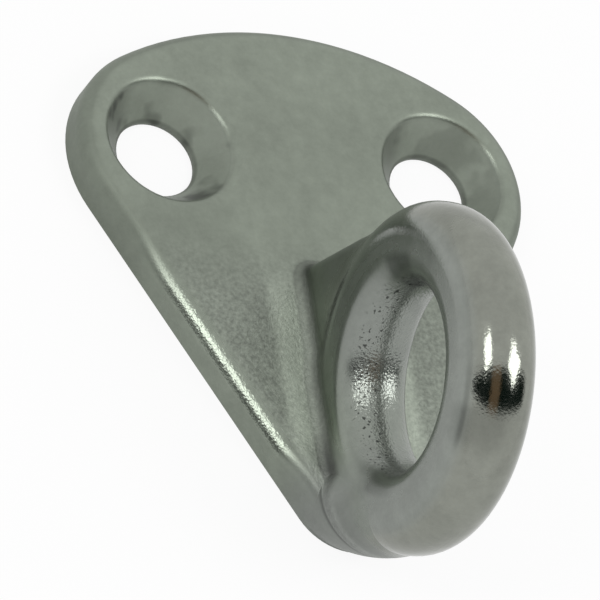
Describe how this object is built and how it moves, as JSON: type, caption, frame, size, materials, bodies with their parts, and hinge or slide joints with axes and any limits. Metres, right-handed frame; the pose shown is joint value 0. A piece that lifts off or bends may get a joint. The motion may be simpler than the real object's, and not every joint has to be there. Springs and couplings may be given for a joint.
{
  "type": "fender hook",
  "caption": "Cast deck eye for a fender line: a flat plate with countersunk screw holes and a closed round eye that leans out past the plate's narrow end.",
  "frame": {"origin": "midway between the two screw holes, on the plate's flat back face", "axes": "+Z out of the deck, from the back face towards the eye's side; +X along the line of the screw holes; +Y away from the eye, so the eye is on the -Y side"},
  "size_m": [0.0388, 0.0507, 0.0274],
  "materials": {
    "cast_stainless": "tumbled satin stainless casting, polished round the outside of the eye"
  },
  "bodies": {
    "root": {"fender_hook_casting": "cast_stainless"}
  },
  "joints": []
}
